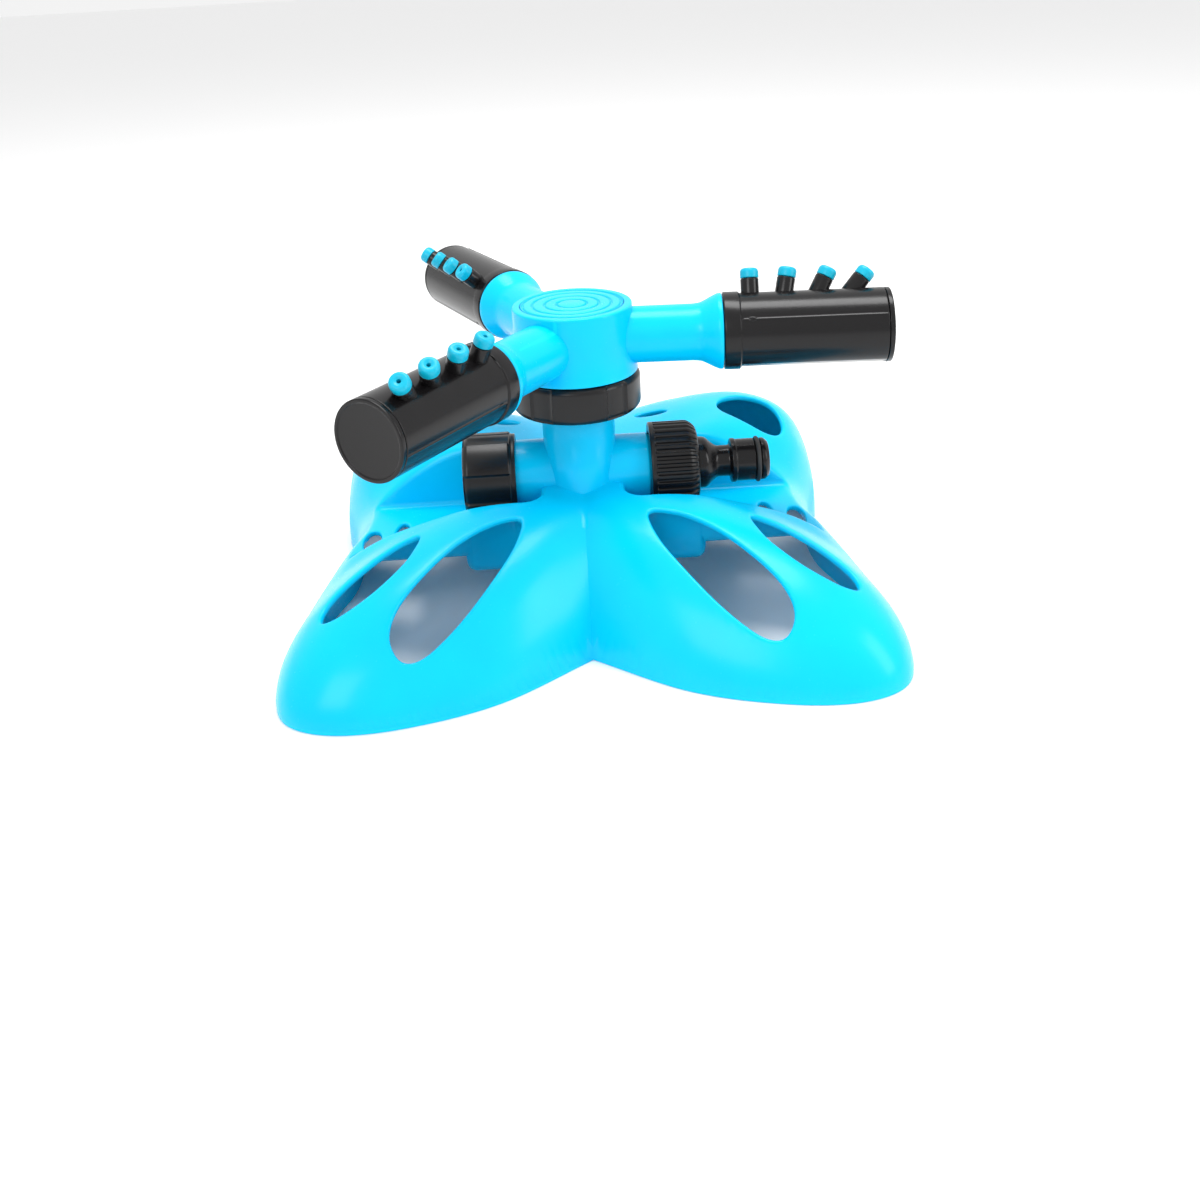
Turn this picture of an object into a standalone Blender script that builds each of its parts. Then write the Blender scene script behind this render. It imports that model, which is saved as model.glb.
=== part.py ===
"""Three-arm rotating lawn sprinkler on a butterfly-shaped base.

Frame: metres, +Z up, the origin on the ground under the riser's axis.  The water pipe
lies along X with the hose inlet at +X; the front wings of the base point to -Y.
"""
import math

import bmesh
import bpy
from mathutils import Matrix, Vector

MM = 0.001
GAP = 0.3 * MM                      # clearance between pieces that touch
THREAD_PITCH = 1.814 * MM           # 3/4 in pipe thread, 14 turns to the inch

# ---- driving dimensions: base -------------------------------------------------------
CREST_HEIGHT = 51.5 * MM            # top of the shell where the riser comes through
SHELL_WALL = 2.4 * MM
SKIRT_HEIGHT = 1.6 * MM             # short upright edge that stands on the ground
WELL_FLOOR = 30.0 * MM              # floor of the trough that the pipe lies in
DEEP_FLOOR = 23.5 * MM              # the same, under the nut and the end cap
RISER_RADIUS = 14.2 * MM
RISER_TOP = 81.0 * MM
RISER_BORE = 10.5 * MM
PIPE_HEIGHT = 52.0 * MM             # axis of the cross pipe
THREAD_RADIUS = 13.2 * MM           # 3/4 in male thread, 26.4 mm across its crests
THREAD_DEPTH = 1.1 * MM
THREAD_TURNS = 4
PIPE_BORE = 9.6 * MM
PIPE_END = 38.0 * MM
SHOULDER_X = 26.5 * MM              # where the pipe's smooth stretch meets its thread

# ---- driving dimensions: rotor ------------------------------------------------------
HUB_TOP = 120.5 * MM
HUB_BOTTOM = 94.2 * MM
HUB_RADIUS = 23.0 * MM
ARM_HEIGHT = 107.2 * MM
ARM_RADIUS = 10.9 * MM
ARM_BORE = 7.4 * MM
ARM_SHOULDER = 56.9 * MM            # where the blue arm ends against its barrel
BARREL_RADIUS = 14.2 * MM
BARREL_INNER = 57.2 * MM
BARREL_OUTER = 120.0 * MM
BARREL_BORE = 11.3 * MM
ARM_COUNT = 3
ROTOR_REST_ANGLE = -4.0             # degrees: where the first arm points at rest
BARREL_TWIST = (23.0, 47.0, 25.0)   # degrees each barrel is turned from straight up
NOZZLE_PLACES = (68.0 * MM, 81.0 * MM, 94.0 * MM, 107.0 * MM)
NOZZLE_LEANS = (0.0, 11.0, 28.0, 40.0)   # degrees outwards, inner nozzle first
STEM_RADIUS = 3.5 * MM
STEM_BORE = 2.0 * MM
TIP_SEAT = 5.2 * MM                 # how far along its stem, from the skin, a tip starts
TIP_LENGTH = 3.8 * MM

# ---- driving dimensions: collar, inlet and end cap ----------------------------------
COLLAR_RADIUS = 25.0 * MM
COLLAR_BOTTOM = 79.5 * MM
COLLAR_TOP = 93.8 * MM
JOURNAL_RADIUS = 9.7 * MM
JOURNAL_TOP = 105.0 * MM
NUT_RADIUS = 17.2 * MM
NUT_START = 27.3 * MM
NUT_END = 46.2 * MM
NIPPLE_RADIUS = 8.6 * MM
NIPPLE_END = 74.4 * MM
CAP_RADIUS = 16.8 * MM
CAP_START = 25.6 * MM
CAP_END = 46.2 * MM

BLUE = ("blue_abs", (0.0, 0.50, 0.86), 0.28)
BLACK = ("black_plastic", (0.014, 0.013, 0.014), 0.34)
TEAL = ("teal_nozzle", (0.0, 0.42, 0.55), 0.38)
RUBBER = ("rubber", (0.02, 0.02, 0.02), 0.75)
ACETAL = ("acetal", (0.82, 0.82, 0.80), 0.45)

# One row for each point of the half outline, from the front notch round to the rear:
# x, y, how full the slope is (power), how round its edge is (root), extra height.
WING_OUTLINE = (
    (0.0, -58.6, 2.3, 1.5, 0.0),
    (33.0, -84.0, 2.3, 1.4, 0.0),
    (66.0, -96.0, 2.4, 1.4, 0.0),
    (92.0, -97.5, 2.5, 1.5, 0.0),
    (109.0, -88.5, 2.6, 1.6, 0.0),
    (114.8, -69.0, 2.6, 1.7, 0.0),
    (111.5, -42.0, 2.4, 1.8, 0.0),
    (104.0, -14.0, 3.2, 1.9, 0.0),
    (98.0, 9.0, 3.2, 2.0, 0.0),
    (98.2, 32.5, 3.5, 2.0, 1.2),
    (105.0, 58.0, 6.0, 2.2, 4.5),
    (103.5, 82.0, 8.5, 2.2, 5.0),
    (87.0, 100.0, 8.5, 2.2, 5.0),
    (56.0, 104.0, 7.0, 2.2, 3.0),
    (26.0, 97.0, 6.0, 2.0, 1.5),
    (0.0, 92.0, 6.0, 2.0, 1.0),
)
# Plan outlines of the cut-outs in one half, in millimetres.
LARGE_SLOT = ((24, -35.5), (26.5, -48), (35, -62), (46, -75), (58, -84.5), (66.5, -86.5),
              (70.5, -81), (67.5, -72), (58, -59.5), (46, -46.3), (34, -37.5))
EDGE_SLOT = ((62, -38.5), (64.5, -50), (70.5, -58.8), (79, -66), (89, -70.2), (96, -68.5),
             (96, -61), (89, -52.8), (79, -44.6), (70, -39.2))
WELL = ((16.4, -12), (18.5, -18.5), (24, -22.5), (31, -23.5), (112, -23.5), (112, 23.5),
        (31, 23.5), (24, 22.5), (18.5, 18.5), (16.4, 12))
DEEP_WELL = ((16.4, -12), (18.5, -18.5), (24, -22.5), (31, -23.5), (41.5, -23.5), (44, -22.5),
             (45, -20), (45, 20), (44, 22.5), (41.5, 23.5), (31, 23.5), (24, 22.5),
             (18.5, 18.5), (16.4, 12))
LENS_SLOTS = ((73.0, -4.0, 2.9, 11.5), (84.5, -8.0, 3.4, 9.5))   # x, y, half width, half length
REAR_HOLE = (75.5, 52.5, 14.5)      # x, y, radius
REAR_SLIT = (32.0, 52.0, 7.0, 3.0)  # x, y, half width, half length


# A small turn that keeps a cutter's corners off the corners of the body it cuts.
OFF_LINE = Matrix.Rotation(0.09, 4, 'Z')


# ---- scene and materials ------------------------------------------------------------
for old in list(bpy.data.objects):
    bpy.data.objects.remove(old, do_unlink=True)


def new_collection(name):
    """Return a collection linked to the scene."""
    collection = bpy.data.collections.new(name)
    bpy.context.scene.collection.children.link(collection)
    return collection


PARTS = new_collection("sprinkler")
CUTTERS = new_collection("cutters")


def material(finish):
    """Return the Principled material for a (name, colour, roughness) finish."""
    name, colour, roughness = finish
    found = bpy.data.materials.get(name)
    if found:
        return found
    made = bpy.data.materials.new(name)
    made.use_nodes = True
    shader = made.node_tree.nodes["Principled BSDF"]
    shader.inputs["Base Color"].default_value = (*colour, 1.0)
    shader.inputs["Roughness"].default_value = roughness
    shader.inputs["Metallic"].default_value = 0.0
    return made


def add_object(name, mesh, finish=None, collection=None):
    """Link a mesh as a named object with its finish, shaded smooth below 35 degrees."""
    body = bpy.data.objects.new(name, mesh)
    (collection or PARTS).objects.link(body)
    if finish:
        mesh.materials.append(material(finish))
    mesh.shade_smooth()
    mesh.set_sharp_from_angle(angle=math.radians(35.0))
    return body


def as_cutter(body):
    """Hide an object that only cuts or joins others."""
    body.hide_render = True
    body.display_type = 'WIRE'
    return body


def boolean(body, other, operation):
    """Cut or join body with other, exactly."""
    step = body.modifiers.new(operation.lower() + "_" + other.name, 'BOOLEAN')
    step.operation = operation
    step.solver = 'EXACT'
    step.object = other
    return step


# ---- shape helpers ------------------------------------------------------------------
def turned(name, profile, segments, finish=None, collection=None):
    """Turn a (radius, height) profile, running down its outer side, about Z.

    A profile that starts and ends on the axis stays open; any other is closed into a ring.
    """
    points = [(radius, 0.0, height) for radius, height in profile]
    edges = [(i, i + 1) for i in range(len(points) - 1)]
    if profile[0][0] > 0.0:
        edges.append((len(points) - 1, 0))
    mesh = bpy.data.meshes.new(name)
    mesh.from_pydata(points, edges, [])
    body = add_object(name, mesh, finish, collection)
    screw = body.modifiers.new("turn", 'SCREW')
    screw.axis = 'Z'
    screw.steps = segments
    screw.render_steps = segments
    screw.use_merge_vertices = True
    screw.merge_threshold = 0.02 * MM
    screw.use_smooth_shade = True
    return body


def turned_cutter(name, profile, segments):
    """Turn a profile into a hidden body that cuts or joins others."""
    return as_cutter(turned(name, profile, segments, collection=CUTTERS))


def cylinder_cutter(name, radius, low, high, segments):
    """Make a hidden upright cylinder between two heights."""
    mesh_data = bmesh.new()
    middle = Matrix.Translation((0.0, 0.0, 0.5 * (low + high)))
    bmesh.ops.create_cone(mesh_data, cap_ends=True, segments=segments, radius1=radius,
                          radius2=radius, depth=high - low, matrix=middle)
    return as_cutter(add_object(name, finished(mesh_data, name), collection=CUTTERS))


def finished(mesh_data, name):
    """Turn every face outwards and return the mesh."""
    bmesh.ops.recalc_face_normals(mesh_data, faces=mesh_data.faces)
    mesh = bpy.data.meshes.new(name)
    mesh_data.to_mesh(mesh)
    mesh_data.free()
    return mesh


def pivot(name, matrix, parent=None):
    """Make an empty on a joint's axis, placed by its matrix under its parent."""
    empty = bpy.data.objects.new(name, None)
    empty.empty_display_size = 10.0 * MM
    PARTS.objects.link(empty)
    empty.parent = parent
    empty.matrix_basis = matrix
    return empty


def hang(body, parent, matrix=Matrix.Identity(4)):
    """Parent a body to an empty, with its own matrix under it."""
    body.parent = parent
    body.matrix_basis = matrix
    return body


def lofted(name, stations, count, pad, finish=None, ends=False):
    """Join rings of points about Z into a closed skin.

    A station is (radius, height, pad depth); pad(angle) says how far, from 0 to 1, the
    pad depth is taken off the radius at that angle.  ends closes both end rings with a
    flat face; otherwise the last ring joins back to the first.
    """
    mesh_data = bmesh.new()
    rings = []
    for radius, height, depth in stations:
        ring = []
        for i in range(count):
            angle = 2.0 * math.pi * i / count
            reach = radius - depth * pad(angle)
            spot = (reach * math.cos(angle), reach * math.sin(angle), height)
            ring.append(mesh_data.verts.new(spot))
        rings.append(ring)
    pairs = list(zip(rings, rings[1:]))
    if not ends:
        pairs.append((rings[-1], rings[0]))
    for first, second in pairs:
        for i in range(count):
            j = (i + 1) % count
            mesh_data.faces.new((first[i], first[j], second[j], second[i]))
    if ends:
        mesh_data.faces.new(rings[0])
        mesh_data.faces.new(rings[-1])
    return add_object(name, finished(mesh_data, name), finish)


def smooth_loop(points, steps):
    """Return a closed smooth curve through plan points, with steps points between each."""
    count = len(points)
    loop = []
    for i in range(count):
        before, here, after, beyond = (Vector(points[(i + k) % count]) for k in (-1, 0, 1, 2))
        for s in range(steps):
            t = s / steps
            loop.append(catmull_rom(before, here, after, beyond, t))
    return loop


def catmull_rom(before, here, after, beyond, t):
    """Return the point at t on the smooth curve between here and after."""
    return 0.5 * (2.0 * here + (after - before) * t
                  + (2.0 * before - 5.0 * here + 4.0 * after - beyond) * t * t
                  + (3.0 * here - before - 3.0 * after + beyond) * t * t * t)


def prism(name, outlines, low, high):
    """Make a hidden cutter of upright prisms over closed plan outlines, in metres."""
    mesh_data = bmesh.new()
    for outline in outlines:
        floor = [mesh_data.verts.new((x, y, low)) for x, y in outline]
        roof = [mesh_data.verts.new((x, y, high)) for x, y in outline]
        mesh_data.faces.new(floor)
        mesh_data.faces.new(roof)
        for i, corner in enumerate(floor):
            j = (i + 1) % len(floor)
            mesh_data.faces.new((corner, floor[j], roof[j], roof[i]))
    return as_cutter(add_object(name, finished(mesh_data, name), collection=CUTTERS))


def both_sides(outlines):
    """Return plan outlines in metres, with their mirror images across X = 0."""
    right = [[(x * MM, y * MM) for x, y in outline] for outline in outlines]
    left = [[(-x, y) for x, y in reversed(outline)] for outline in right]
    return right + left


def lens(x, y, half_width, half_length):
    """Return a pointed oval in plan, from two arcs, in millimetres."""
    side = [half_width * math.sin(math.pi * s / 6.0) for s in range(7)]
    reach = [-half_length * math.cos(math.pi * s / 6.0) for s in range(7)]
    right = [(x + side[s], y + reach[s]) for s in range(7)]
    left = [(x - side[s], y + reach[s]) for s in range(5, 0, -1)]
    return right + left


def circle(x, y, radius, count):
    """Return a circle in plan, in the units of its radius."""
    turns = [2.0 * math.pi * i / count for i in range(count)]
    return [(x + radius * math.cos(a), y + radius * math.sin(a)) for a in turns]


def bead_ring(name, ring_radius, bead_radius):
    """Make a rubber O-ring about Z."""
    bpy.ops.mesh.primitive_torus_add(major_segments=16, minor_segments=6,
                                     major_radius=ring_radius, minor_radius=bead_radius)
    ring = bpy.context.active_object
    for collection in list(ring.users_collection):
        collection.objects.unlink(ring)
    PARTS.objects.link(ring)
    ring.name = name
    ring.data.name = name
    ring.data.materials.append(material(RUBBER))
    ring.data.shade_smooth()
    return ring


# ---- base body ----------------------------------------------------------------------
def wing_points(steps):
    """Return the whole outline as (x, y, power, root, extra) in metres, closed."""
    rows = [Vector(row) for row in WING_OUTLINE]
    rows.insert(0, 2.0 * rows[0] - rows[1])
    rows.append(2.0 * rows[-1] - rows[-2])
    half = []
    for i in range(1, len(rows) - 2):
        for s in range(steps):
            half.append(catmull_rom(rows[i - 1], rows[i], rows[i + 1], rows[i + 2], s / steps))
    half.append(rows[-2])
    right = [(p[0] * MM, p[1] * MM, p[2], p[3], p[4] * MM) for p in half]
    left = [(-x, y, power, root, extra) for x, y, power, root, extra in right[-2:0:-1]]
    return right + left


def shell_height(reach, power, root, extra):
    """Return the shell's height at a fraction of the way out to its outline."""
    ease = min(reach / 0.6, 1.0)
    ease = ease * ease * (3.0 - 2.0 * ease)
    full = (1.0 - reach ** power) ** (1.0 / root)
    return SKIRT_HEIGHT + (CREST_HEIGHT - SKIRT_HEIGHT + extra * ease) * full


def dome_rings(mesh_data, sink):
    """Add the dome's rings and its faces, sunk below the outer surface by a depth.

    Returns the innermost ring and the ring that stands on the ground.
    """
    outline = wing_points(2)
    inner_radius = 0.5 * (RISER_RADIUS + RISER_BORE)
    shares = (0.0, 0.2, 0.4, 0.57, 0.71, 0.83, 0.92, 0.98, 1.0)
    rows = []
    for share in shares:
        row = []
        for x, y, power, root, extra in outline:
            far = math.hypot(x, y)
            reach = (inner_radius + share * (far - inner_radius)) / far
            height = shell_height(min(reach, 1.0), power, root, extra) - sink
            inset = reach * (1.0 - sink / far)
            row.append(mesh_data.verts.new((x * inset, y * inset, height)))
        rows.append(row)
    rows.append([mesh_data.verts.new((v.co.x, v.co.y, 0.0)) for v in rows[-1]])
    for inner, outer in zip(rows, rows[1:]):
        for i in range(len(outline)):
            j = (i + 1) % len(outline)
            mesh_data.faces.new((inner[i], outer[i], outer[j], inner[j]))
    return rows[0], rows[-1]


def base_shell():
    """Make the butterfly shell: an open dome of wing slopes, thickened inwards."""
    mesh_data = bmesh.new()
    dome_rings(mesh_data, 0.0)
    mesh = bpy.data.meshes.new("base_body")
    mesh_data.to_mesh(mesh)
    mesh_data.free()
    shell = add_object("base_body", mesh, BLUE)
    wall = shell.modifiers.new("wall", 'SOLIDIFY')
    wall.thickness = SHELL_WALL
    wall.offset = -1.0
    wall.use_even_offset = False
    shell.modifiers.new("flat_faces", 'TRIANGULATE')
    return shell


def dome_solid():
    """Make a hidden solid dome whose surface runs along the middle of the shell's wall."""
    mesh_data = bmesh.new()
    top, foot = dome_rings(mesh_data, 0.5 * SHELL_WALL)
    peak = mesh_data.verts.new((0.0, 0.0, CREST_HEIGHT))
    centre = mesh_data.verts.new((0.0, 0.0, 0.0))
    for i in range(len(top)):
        j = (i + 1) % len(top)
        mesh_data.faces.new((peak, top[i], top[j]))
        mesh_data.faces.new((centre, foot[j], foot[i]))
    return as_cutter(add_object("dome", finished(mesh_data, "dome"), collection=CUTTERS))


def grown(outline, distance):
    """Return a counter-clockwise plan outline moved outwards by a distance."""
    moved = []
    for i, (x, y) in enumerate(outline):
        (ax, ay), (bx, by) = outline[i - 1], outline[(i + 1) % len(outline)]
        first = Vector((y - ay, ax - x)).normalized()
        second = Vector((by - y, x - bx)).normalized()
        corner = (first + second).normalized()
        reach = distance / max(corner.dot(first), 0.5)
        moved.append((x + corner.x * reach, y + corner.y * reach))
    return moved


def well_walls():
    """Make the walls and floor of the two wells that the pipe's ends lie in."""
    wall = SHELL_WALL / MM
    beyond = 90.0 * MM
    walls = prism("well_walls", both_sides([grown(WELL, wall)]), WELL_FLOOR - SHELL_WALL, beyond)
    deep = prism("deep_walls", both_sides([grown(DEEP_WELL, wall)]), DEEP_FLOOR - SHELL_WALL,
                 beyond)
    boolean(walls, deep, 'UNION')
    boolean(walls, dome_solid(), 'INTERSECT')
    return walls


def threaded_pipe():
    """Make the cross pipe's outside, with ridges for the male thread at both ends."""
    thread_length = THREAD_TURNS * THREAD_PITCH
    start = PIPE_END - 1.0 * MM - thread_length
    root = THREAD_RADIUS - THREAD_DEPTH
    half = [(0.0, PIPE_END), (root - 0.4 * MM, PIPE_END), (root, PIPE_END - 0.6 * MM)]
    for turn in range(THREAD_TURNS):
        top = PIPE_END - 1.0 * MM - turn * THREAD_PITCH
        half.append((root, top))
        half.append((THREAD_RADIUS, top - 0.5 * THREAD_PITCH))
    half.append((root, start))
    half.append((root, SHOULDER_X + 0.6 * MM))
    half.append((THREAD_RADIUS - GAP, SHOULDER_X))
    mirrored = [(radius, -height) for radius, height in reversed(half)]
    return along_pipe(turned_cutter("pipe_outside", half + mirrored, 20), 1)


def make_base():
    """Make the one-piece base: shell, riser and threaded cross pipe."""
    body = base_shell()
    boolean(body, well_walls(), 'UNION')
    above = 90.0 * MM
    boolean(body, prism("wells", both_sides([WELL]), WELL_FLOOR, above), 'DIFFERENCE')
    deep = both_sides([grown(DEEP_WELL, -GAP / MM)])
    boolean(body, prism("deep_wells", deep, DEEP_FLOOR, 2.0 * DEEP_FLOOR), 'DIFFERENCE')
    openings = both_sides([
        [tuple(p) for p in smooth_loop(LARGE_SLOT, 2)],
        [tuple(p) for p in smooth_loop(EDGE_SLOT, 2)],
        circle(*REAR_HOLE, 20),
        lens(*REAR_SLIT),
        *[lens(*slot) for slot in LENS_SLOTS],
    ])
    boolean(body, prism("shell_cutouts", openings, 3.0 * MM, above), 'DIFFERENCE')
    riser_foot = DEEP_FLOOR - 1.0 * MM
    chamfer = 0.8 * MM
    riser = turned_cutter("riser_outside", [
        (0.0, RISER_TOP), (RISER_RADIUS - chamfer, RISER_TOP), (RISER_RADIUS, RISER_TOP - chamfer),
        (RISER_RADIUS, riser_foot), (0.0, riser_foot)], 28)
    boolean(body, riser, 'UNION')
    boolean(body, threaded_pipe(), 'UNION')
    riser_bore = cylinder_cutter("riser_bore", RISER_BORE, PIPE_HEIGHT, 2.0 * RISER_TOP, 24)
    boolean(body, hang(riser_bore, None, OFF_LINE), 'DIFFERENCE')
    pipe_bore = cylinder_cutter("pipe_bore", PIPE_BORE, -2.0 * PIPE_END, 2.0 * PIPE_END, 16)
    boolean(body, along_pipe(pipe_bore, 1), 'DIFFERENCE')
    return body


# ---- swivel on top of the riser -----------------------------------------------------
def collar_pads(angle):
    """Return 1 in the five recesses between the collar's finger pads, else 0."""
    share = (angle / (2.0 * math.pi) * 5.0) % 1.0
    return 1.0 if share < 0.32 else 0.0


def make_swivel():
    """Make the black screw-in collar, its seals and the clip that holds the rotor."""
    web = RISER_TOP + 2.0 * MM
    stem_low = 69.0 * MM
    stem = RISER_BORE - GAP
    bore = 6.0 * MM
    groove = JOURNAL_RADIUS - 2.0 * MM
    clip_groove = JOURNAL_RADIUS - 1.0 * MM
    pad = 1.0 * MM
    rim = COLLAR_RADIUS
    hollow_out = 21.6 * MM
    hollow_in = 14.9 * MM
    hollow_top = 89.5 * MM
    plain = 0.0
    stations = [
        (bore, JOURNAL_TOP, plain), (JOURNAL_RADIUS - 0.5 * MM, JOURNAL_TOP, plain),
        (JOURNAL_RADIUS, JOURNAL_TOP - 0.5 * MM, plain), (JOURNAL_RADIUS, 103.5 * MM, plain),
        (clip_groove, 103.5 * MM, plain), (clip_groove, 101.5 * MM, plain),
        (JOURNAL_RADIUS, 101.5 * MM, plain), (JOURNAL_RADIUS, 99.8 * MM, plain),
        (groove, 99.8 * MM, plain), (groove, 97.4 * MM, plain),
        (JOURNAL_RADIUS, 97.4 * MM, plain), (JOURNAL_RADIUS, COLLAR_TOP, plain),
        (rim - 1.6 * MM, COLLAR_TOP, pad * 0.5), (rim, COLLAR_TOP - 1.6 * MM, pad),
        (rim, COLLAR_BOTTOM + 1.2 * MM, pad), (rim - 1.0 * MM, COLLAR_BOTTOM, pad * 0.5),
        (hollow_out, COLLAR_BOTTOM, plain), (hollow_out, hollow_top, plain),
        (hollow_in, hollow_top, plain), (hollow_in, web, plain), (stem, web, plain),
        (stem, stem_low, plain), (bore, stem_low, plain)]
    lofted("swivel_collar", stations, 30, collar_pads, BLACK)
    low = RISER_TOP + GAP
    turned("collar_gasket", [(13.6 * MM, low + 1.3 * MM), (13.6 * MM, low),
                             (11.0 * MM, low), (11.0 * MM, low + 1.3 * MM)], 18, RUBBER)
    washer = COLLAR_TOP + GAP
    turned("slip_washer", [(18.0 * MM, washer + 1.0 * MM), (18.0 * MM, washer),
                           (10.2 * MM, washer), (10.2 * MM, washer + 1.0 * MM)], 18, ACETAL)
    seal = bead_ring("spindle_o_ring", 8.85 * MM, 0.84 * MM)
    seal.location = (0.0, 0.0, 98.6 * MM)
    split_ring("spindle_clip", clip_groove + GAP, 12.6 * MM, 101.8 * MM, 1.4 * MM)


def split_ring(name, inner, outer, low, thickness):
    """Make a C-shaped retaining clip about Z, open for 40 degrees."""
    start = math.radians(20.0)
    count = 12
    turns = [start + (2.0 * math.pi - 2.0 * start) * i / count for i in range(count + 1)]
    mesh_data = bmesh.new()
    middle = low + 0.5 * thickness
    rim = [mesh_data.verts.new((outer * math.cos(a), outer * math.sin(a), middle)) for a in turns]
    eye = [mesh_data.verts.new((inner * math.cos(a), inner * math.sin(a), middle)) for a in turns]
    for i in range(count):
        mesh_data.faces.new((eye[i], rim[i], rim[i + 1], eye[i + 1]))
    clip = add_object(name, finished(mesh_data, name), ACETAL)
    wall = clip.modifiers.new("thickness", 'SOLIDIFY')
    wall.thickness = thickness
    wall.offset = 0.0
    return clip


# ---- rotor --------------------------------------------------------------------------
def arm_frame(index):
    """Return the matrix, under the rotor's empty, that lays +Z out along one arm."""
    spin = Matrix.Rotation(2.0 * math.pi * index / ARM_COUNT, 4, 'Z')
    return spin @ Matrix.Rotation(math.radians(90.0), 4, 'Y')


def arm_outside(index):
    """Make one arm's outside: a tube that flares to its barrel, then a spigot."""
    spigot = BARREL_BORE - 0.4 * MM
    shoulder = ARM_SHOULDER
    groove = 9.4 * MM
    clip_groove = 9.6 * MM
    profile = [
        (0.0, 70.0 * MM), (spigot - 0.5 * MM, 70.0 * MM), (spigot, 69.5 * MM),
        (spigot, 68.4 * MM), (clip_groove, 68.4 * MM), (clip_groove, 66.4 * MM),
        (spigot, 66.4 * MM), (spigot, 63.4 * MM), (groove, 63.4 * MM), (groove, 60.8 * MM),
        (spigot, 60.8 * MM), (spigot, shoulder), (BARREL_RADIUS + 0.3 * MM, shoulder),
        (BARREL_RADIUS + 0.3 * MM, shoulder - 1.6 * MM), (13.2 * MM, 51.5 * MM),
        (11.6 * MM, 48.0 * MM), (ARM_RADIUS, 44.0 * MM), (ARM_RADIUS, 5.0 * MM), (0.0, 5.0 * MM)]
    return turned_cutter("arm_outside_" + str(index + 1), profile, 18)


def arm_inside(index):
    """Make the cutter for one arm's water way."""
    profile = [(0.0, 80.0 * MM), (ARM_BORE, 80.0 * MM), (ARM_BORE, 13.5 * MM), (0.0, 13.5 * MM)]
    return turned_cutter("arm_bore_" + str(index + 1), profile, 14)


def make_hub(rotor):
    """Make the hub with its three arms, and the grooved disc let into its top."""
    cap_radius = 19.7 * MM
    top = HUB_TOP - ARM_HEIGHT
    bottom = HUB_BOTTOM - ARM_HEIGHT
    ledge = top - 2.6 * MM
    floor = top - 19.0 * MM
    recess = 19.0 * MM
    recess_top = COLLAR_TOP + 1.6 * MM - ARM_HEIGHT
    above = top + 9.0 * MM
    below = bottom - 9.0 * MM
    hub = turned("rotor_hub", [
        (0.0, top), (HUB_RADIUS - 0.8 * MM, top), (HUB_RADIUS, top - 0.8 * MM),
        (HUB_RADIUS, bottom + 8.8 * MM), (HUB_RADIUS + 0.5 * MM, bottom + 4.3 * MM),
        (HUB_RADIUS + 1.4 * MM, bottom), (0.0, bottom)], 32, BLUE)
    hang(hub, rotor)
    for index in range(ARM_COUNT):
        boolean(hub, hang(arm_outside(index), rotor, arm_frame(index)), 'UNION')
    inside = turned_cutter("hub_inside", [
        (0.0, above), (cap_radius + GAP, above), (cap_radius + GAP, ledge),
        (17.0 * MM, ledge), (17.0 * MM, floor), (JOURNAL_RADIUS + GAP, floor),
        (JOURNAL_RADIUS + GAP, recess_top), (recess, recess_top), (recess, below),
        (0.0, below)], 28)
    boolean(hub, hang(inside, rotor, OFF_LINE), 'DIFFERENCE')
    for index in range(ARM_COUNT):
        boolean(hub, hang(arm_inside(index), rotor, arm_frame(index) @ OFF_LINE), 'DIFFERENCE')
    disc = [(0.0, top)]
    for ring in (5.5 * MM, 10.2 * MM, 15.0 * MM):
        disc += [(ring, top), (ring + 0.6 * MM, top - 0.7 * MM), (ring + 1.2 * MM, top)]
    disc += [(cap_radius, top), (cap_radius, ledge + GAP), (0.0, ledge + GAP)]
    hang(turned("hub_cap", disc, 24, BLUE), rotor)


# ---- barrels and nozzles ------------------------------------------------------------
def nozzle_matrix(place):
    """Return a nozzle's matrix under its barrel: origin on the skin, +Z outwards."""
    lean = math.radians(NOZZLE_LEANS[place])
    foot = Matrix.Translation((-BARREL_RADIUS, 0.0, NOZZLE_PLACES[place]))
    return foot @ Matrix.Rotation(lean - math.radians(90.0), 4, 'Y')


def make_nozzle(barrel_axis, tag, place):
    """Make one nozzle tip: a rounded nose on a shank that plugs into its stem."""
    shank = STEM_BORE - GAP
    low = TIP_SEAT + GAP
    high = low + TIP_LENGTH
    foot = -2.0 * MM
    jet = 0.8 * MM
    tip = turned("nozzle_" + tag, [
        (STEM_RADIUS - 0.9 * MM, high), (STEM_RADIUS, high - 0.8 * MM), (STEM_RADIUS, low),
        (shank, low), (shank, foot), (jet, foot), (jet, high)], 10, TEAL)
    hang(tip, barrel_axis, nozzle_matrix(place))


def make_stems(barrel, barrel_axis, number):
    """Join the four nozzle stems to a barrel that is still solid."""
    for place in range(len(NOZZLE_PLACES)):
        stem = turned_cutter("stem_" + number + "_" + str(place + 1), [
            (0.0, TIP_SEAT), (STEM_RADIUS - 0.3 * MM, TIP_SEAT), (STEM_RADIUS, TIP_SEAT - 0.3 * MM),
            (STEM_RADIUS, -5.0 * MM), (0.0, -5.0 * MM)], 10)
        hang(stem, barrel_axis, nozzle_matrix(place) @ OFF_LINE @ OFF_LINE)
        boolean(barrel, stem, 'UNION')


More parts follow.
